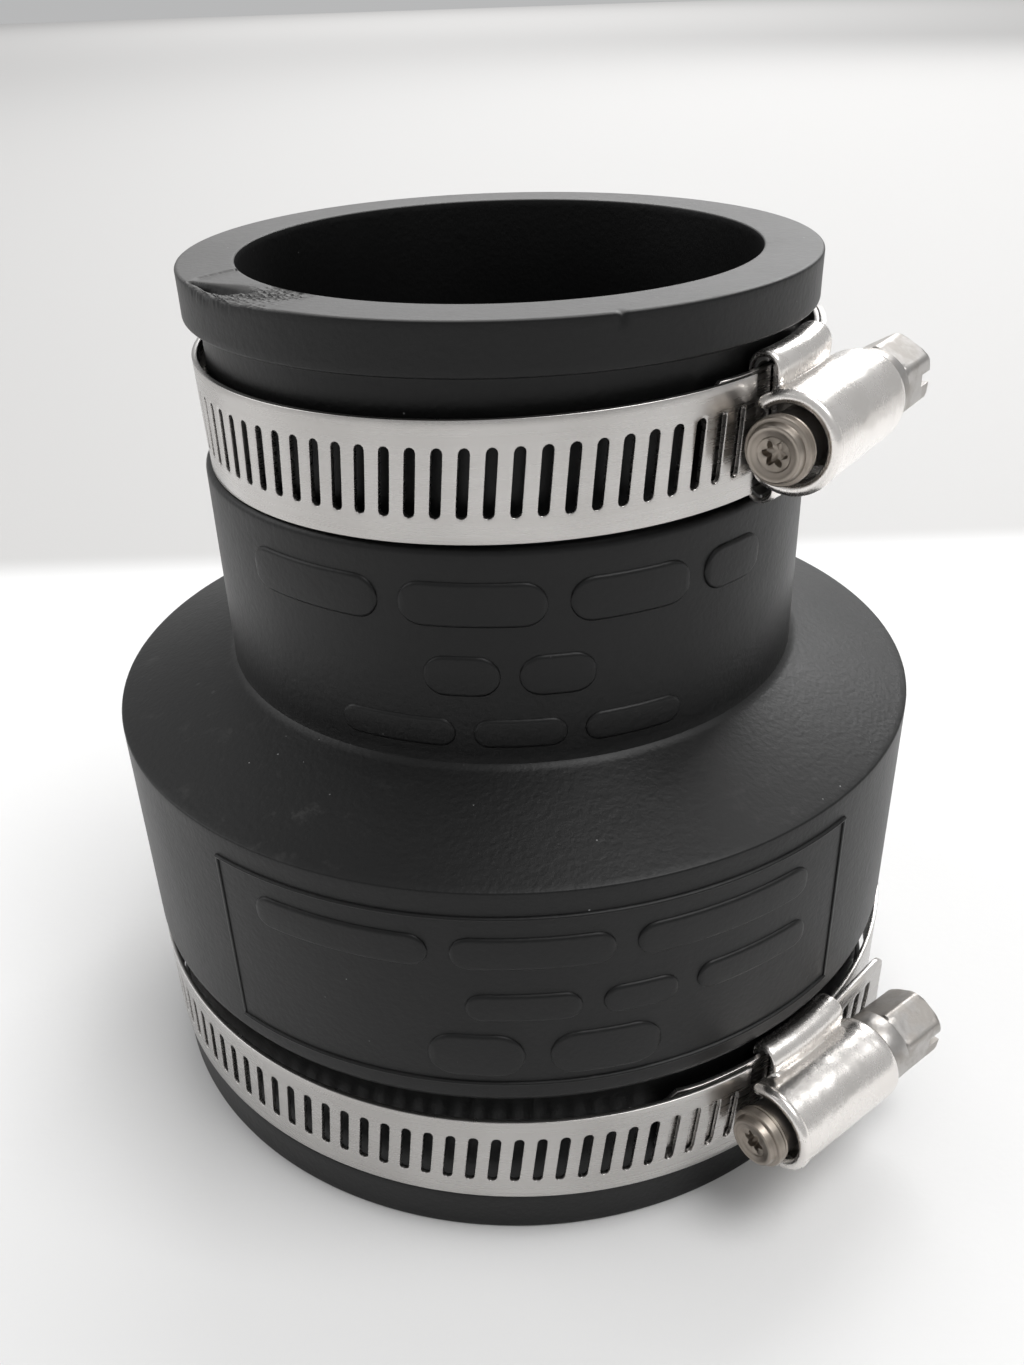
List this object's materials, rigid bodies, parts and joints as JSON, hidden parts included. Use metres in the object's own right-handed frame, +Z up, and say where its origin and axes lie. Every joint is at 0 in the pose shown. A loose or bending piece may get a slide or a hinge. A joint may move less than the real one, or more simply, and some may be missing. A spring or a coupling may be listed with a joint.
{
  "type": "reducing pipe coupling",
  "caption": "Moulded rubber reducing sleeve with a worm-drive clamp around its wide socket and another around its narrow socket, for joining two plain-end pipes.",
  "frame": {"origin": "centre of the large socket's mouth, on the sleeve's bottom rim", "axes": "+Z up along the sleeve's axis, toward the small socket; the viewer's side is -Y"},
  "size_m": [0.1052, 0.106, 0.1063],
  "materials": {
    "sleeve": "moulded rubber, matte, slightly dusty",
    "band_steel": "rolled stainless strip, satin",
    "housing_steel": "pressed stainless, satin to bright",
    "saddle_steel": "pressed stainless, dull",
    "screw_steel": "plated steel, slightly bronze"
  },
  "bodies": {
    "sleeve": {"sleeve": "sleeve"},
    "upper_clamp": {"upper_band": "band_steel", "upper_housing": "housing_steel", "upper_saddle": "saddle_steel"},
    "upper_tail": {"upper_tail": "band_steel"},
    "upper_screw": {"upper_screw": "screw_steel"},
    "lower_clamp": {"lower_band": "band_steel", "lower_housing": "housing_steel", "lower_saddle": "saddle_steel"},
    "lower_tail": {"lower_tail": "band_steel"},
    "lower_screw": {"lower_screw": "screw_steel"}
  },
  "joints": [
    {"name": "upper_clamp_turn", "type": "hinge", "parent": "sleeve", "child": "upper_clamp", "pos_m": [0, 0, 0.09137], "axis": [0, 0, 1], "continuous": true},
    {"name": "upper_screw_turn", "type": "hinge", "parent": "upper_clamp", "child": "upper_screw", "pos_m": [0.03272, -0.02521, 0.09197], "axis": [-0.6099, -0.7922, -0.0228], "range_deg": [-180, 1080]},
    {"name": "upper_tail_feed", "type": "hinge", "parent": "upper_clamp", "child": "upper_tail", "pos_m": [0.0008, -0.00061, 0.09138], "axis": [-0.0254, -0.0093, 0.9996], "range_deg": [-6.5, 13.5]},
    {"name": "lower_clamp_turn", "type": "hinge", "parent": "sleeve", "child": "lower_clamp", "pos_m": [0, 0, 0.01395], "axis": [0, 0, 1], "continuous": true},
    {"name": "lower_screw_turn", "type": "hinge", "parent": "lower_clamp", "child": "lower_screw", "pos_m": [0.03443, -0.04519, 0.01395], "axis": [-0.7955, -0.606, 0], "range_deg": [-180, 1080]},
    {"name": "lower_tail_feed", "type": "hinge", "parent": "lower_clamp", "child": "lower_tail", "pos_m": [0.00061, -0.0008, 0.01395], "axis": [0, 0, 1], "range_deg": [-4.5, 9.5]}
  ],
  "couplings": [
    {"joint": "upper_tail_feed", "follows": "upper_screw_turn", "ratio": 0.011546},
    {"joint": "lower_tail_feed", "follows": "lower_screw_turn", "ratio": 0.0081243}
  ]
}
